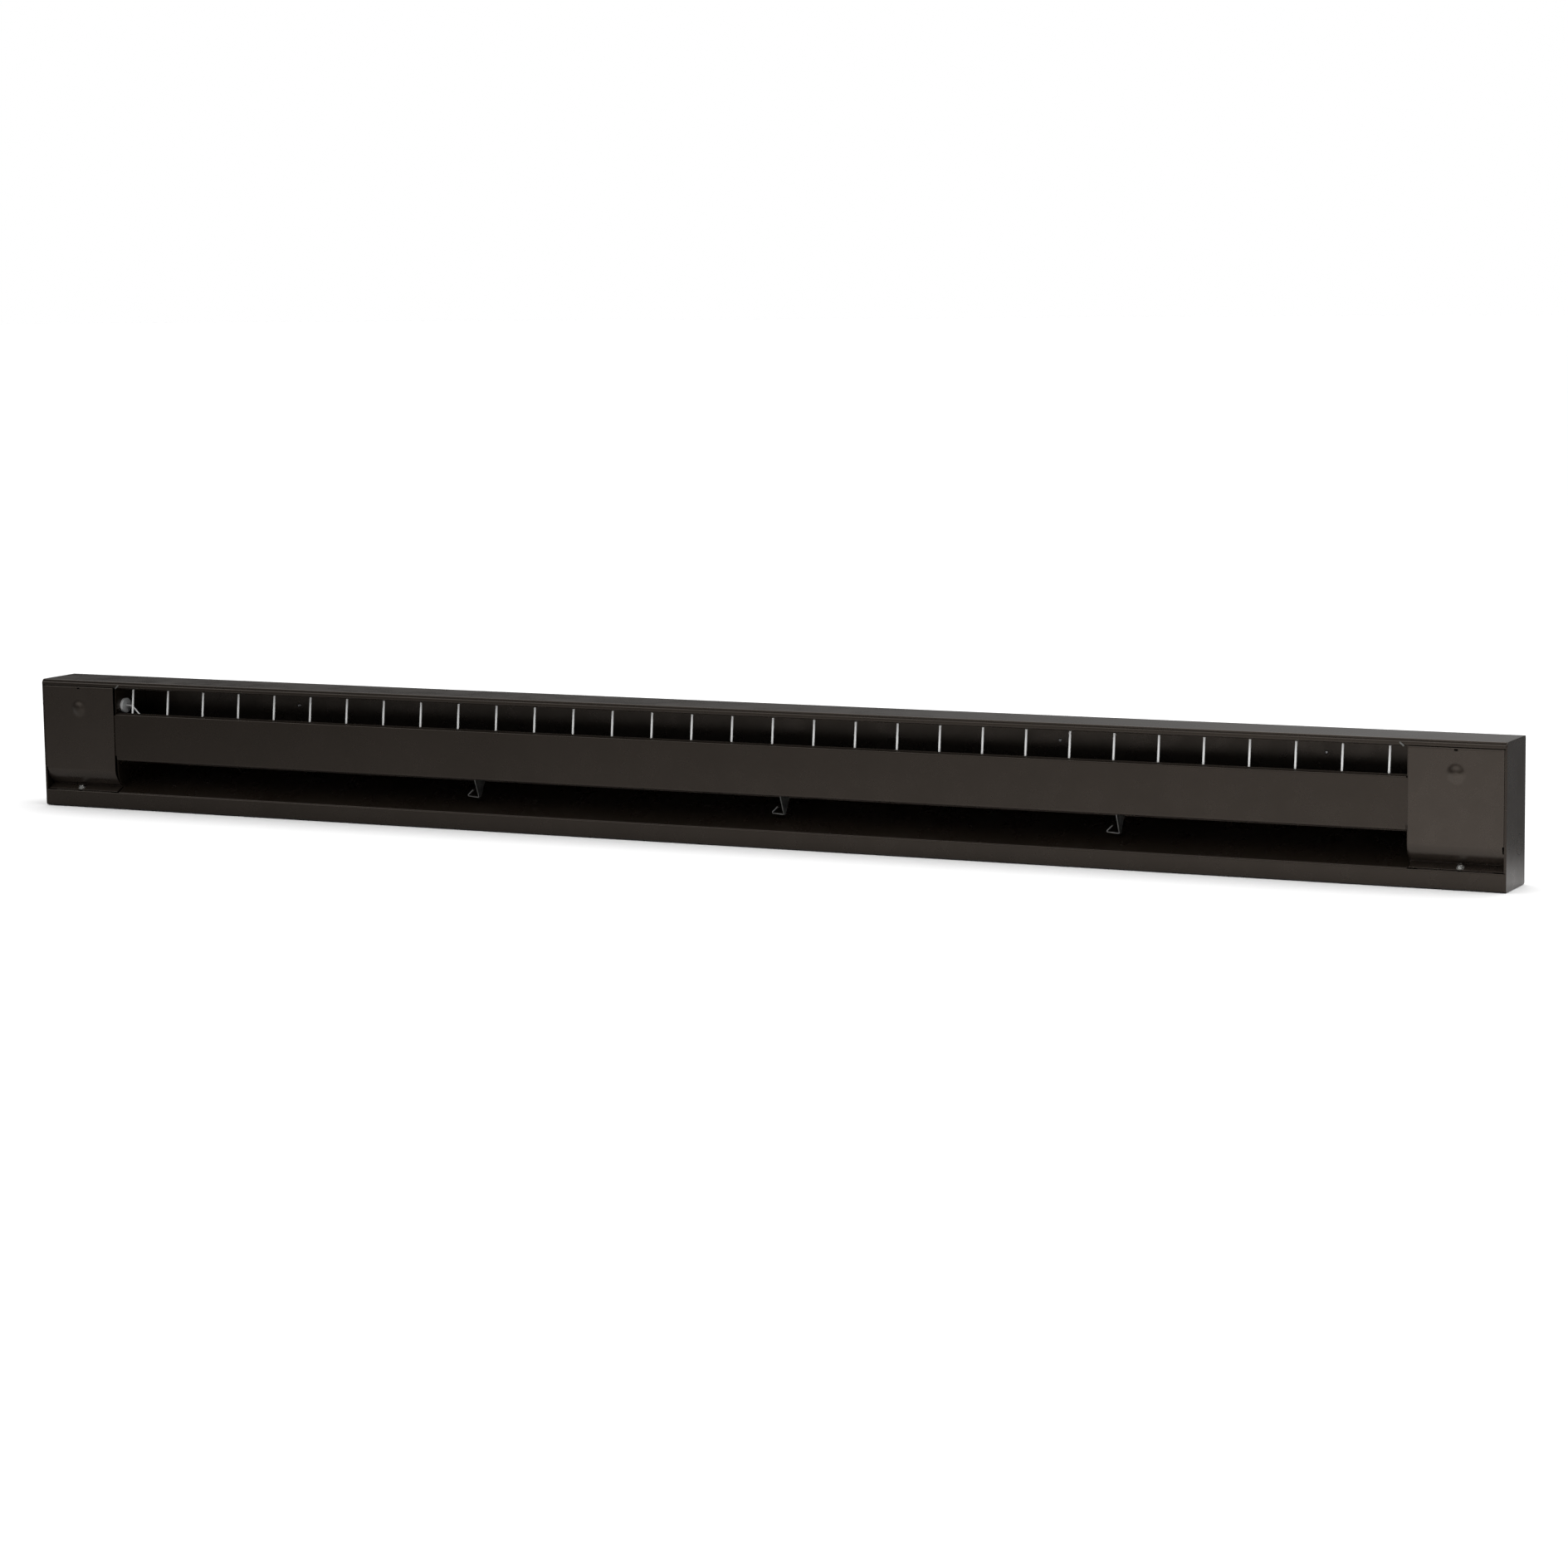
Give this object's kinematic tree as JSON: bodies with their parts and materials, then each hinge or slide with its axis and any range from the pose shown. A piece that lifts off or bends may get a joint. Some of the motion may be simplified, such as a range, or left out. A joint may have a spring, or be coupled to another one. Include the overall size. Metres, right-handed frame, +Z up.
{
  "type": "baseboard heater",
  "caption": "Electric convection baseboard heater in brown sheet metal, with a barred outlet under a rolled hood and hinged junction covers at both ends.",
  "frame": {"origin": "middle of the footprint on the floor plane", "axes": "+X along the casing to the right end seen from the room, +Y towards the wall, +Z up"},
  "size_m": [1.8288, 0.0688, 0.1544],
  "materials": {
    "casing_paint": "satin powder coat",
    "cover_paint": "satin powder coat",
    "guard_zinc": "bright zinc",
    "sheath_steel": "matt drawn steel",
    "fin_aluminium": "mill finish",
    "seal_ceramic": "matt",
    "bushing_rubber": "matt silicone",
    "capillary_steel": "bright drawn tube",
    "bushing_metal": "bright",
    "galvanised_steel": "dull zinc",
    "control_plastic": "moulded",
    "wire_insulation": "satin",
    "rivet_aluminium": "satin",
    "connector_plastic": "semi gloss",
    "screw_plating": "bright zinc",
    "washer_nylon": "natural nylon",
    "clip_steel": "bright spring steel",
    "ground_green": "green"
  },
  "bodies": {
    "casing": {"back_panel": "casing_paint", "bottom_pan": "casing_paint", "capillary_bushing": "bushing_metal", "capillary_clips": "galvanised_steel", "capillary_tube": "capillary_steel", "casing_rivets": "rivet_aluminium", "cold_pin_left": "sheath_steel", "cold_pin_right": "sheath_steel", "cover_catch_left": "casing_paint", "cover_catch_right": "casing_paint", "cover_clip_left": "clip_steel", "cover_clip_right": "clip_steel", "element_fins": "fin_aluminium", "element_sheath": "sheath_steel", "element_support_1": "galvanised_steel", "element_support_2": "galvanised_steel", "element_support_3": "galvanised_steel", "end_cap_left": "casing_paint", "end_cap_right": "casing_paint", "end_seal_left": "seal_ceramic", "end_seal_right": "seal_ceramic", "front_lip": "casing_paint", "front_panel": "casing_paint", "front_rivets": "rivet_aluminium", "ground_screw_left": "ground_green", "ground_screw_right": "ground_green", "guard_bars": "guard_zinc", "guard_bottom_rail": "casing_paint", "guard_top_rail": "casing_paint", "limit_bracket": "galvanised_steel", "limit_control": "control_plastic", "partition_left": "casing_paint", "partition_right": "casing_paint", "rear_upstand": "casing_paint", "sheath_bushing_left": "bushing_rubber", "sheath_bushing_right": "bushing_rubber", "through_wires": "wire_insulation", "wire_bushing_left": "bushing_rubber", "wire_bushing_right": "bushing_rubber", "wire_connectors_left": "connector_plastic", "wire_connectors_right": "connector_plastic", "wireway_cover": "casing_paint"},
    "cover_left": {"junction_cover_left": "cover_paint"},
    "cover_right": {"junction_cover_right": "cover_paint"},
    "washer_left": {"cover_washer_left": "washer_nylon"},
    "washer_right": {"cover_washer_right": "washer_nylon"},
    "screw_left": {"cover_screw_left": "screw_plating"},
    "screw_right": {"cover_screw_right": "screw_plating"}
  },
  "joints": [
    {"name": "cover_left_swing", "type": "hinge", "parent": "casing", "child": "cover_left", "pos_m": [-0.8608, -0.0315, 0.1462], "axis": [-1, 0, 0], "range_deg": [0, 80]},
    {"name": "screw_left_lift", "type": "slide", "parent": "cover_left", "child": "washer_left", "axis": [0, -0.4226, 0.9063], "range_m": [0, 0.0028]},
    {"name": "screw_left_turn", "type": "hinge", "parent": "washer_left", "child": "screw_left", "pos_m": [-0.8646, -0.0255, 0.02199], "axis": [0, -0.4226, 0.9063], "range_deg": [0, 720]},
    {"name": "cover_right_swing", "type": "hinge", "parent": "casing", "child": "cover_right", "pos_m": [0.8608, -0.0315, 0.1462], "axis": [-1, 0, 0], "range_deg": [0, 80]},
    {"name": "screw_right_lift", "type": "slide", "parent": "cover_right", "child": "washer_right", "axis": [0, -0.4226, 0.9063], "range_m": [0, 0.0028]},
    {"name": "screw_right_turn", "type": "hinge", "parent": "washer_right", "child": "screw_right", "pos_m": [0.8646, -0.0255, 0.02199], "axis": [0, -0.4226, 0.9063], "range_deg": [0, 720]}
  ],
  "couplings": [
    {"joint": "screw_left_turn", "follows": "screw_left_lift", "rad_per_m": 4488},
    {"joint": "screw_right_turn", "follows": "screw_right_lift", "rad_per_m": 4488}
  ]
}
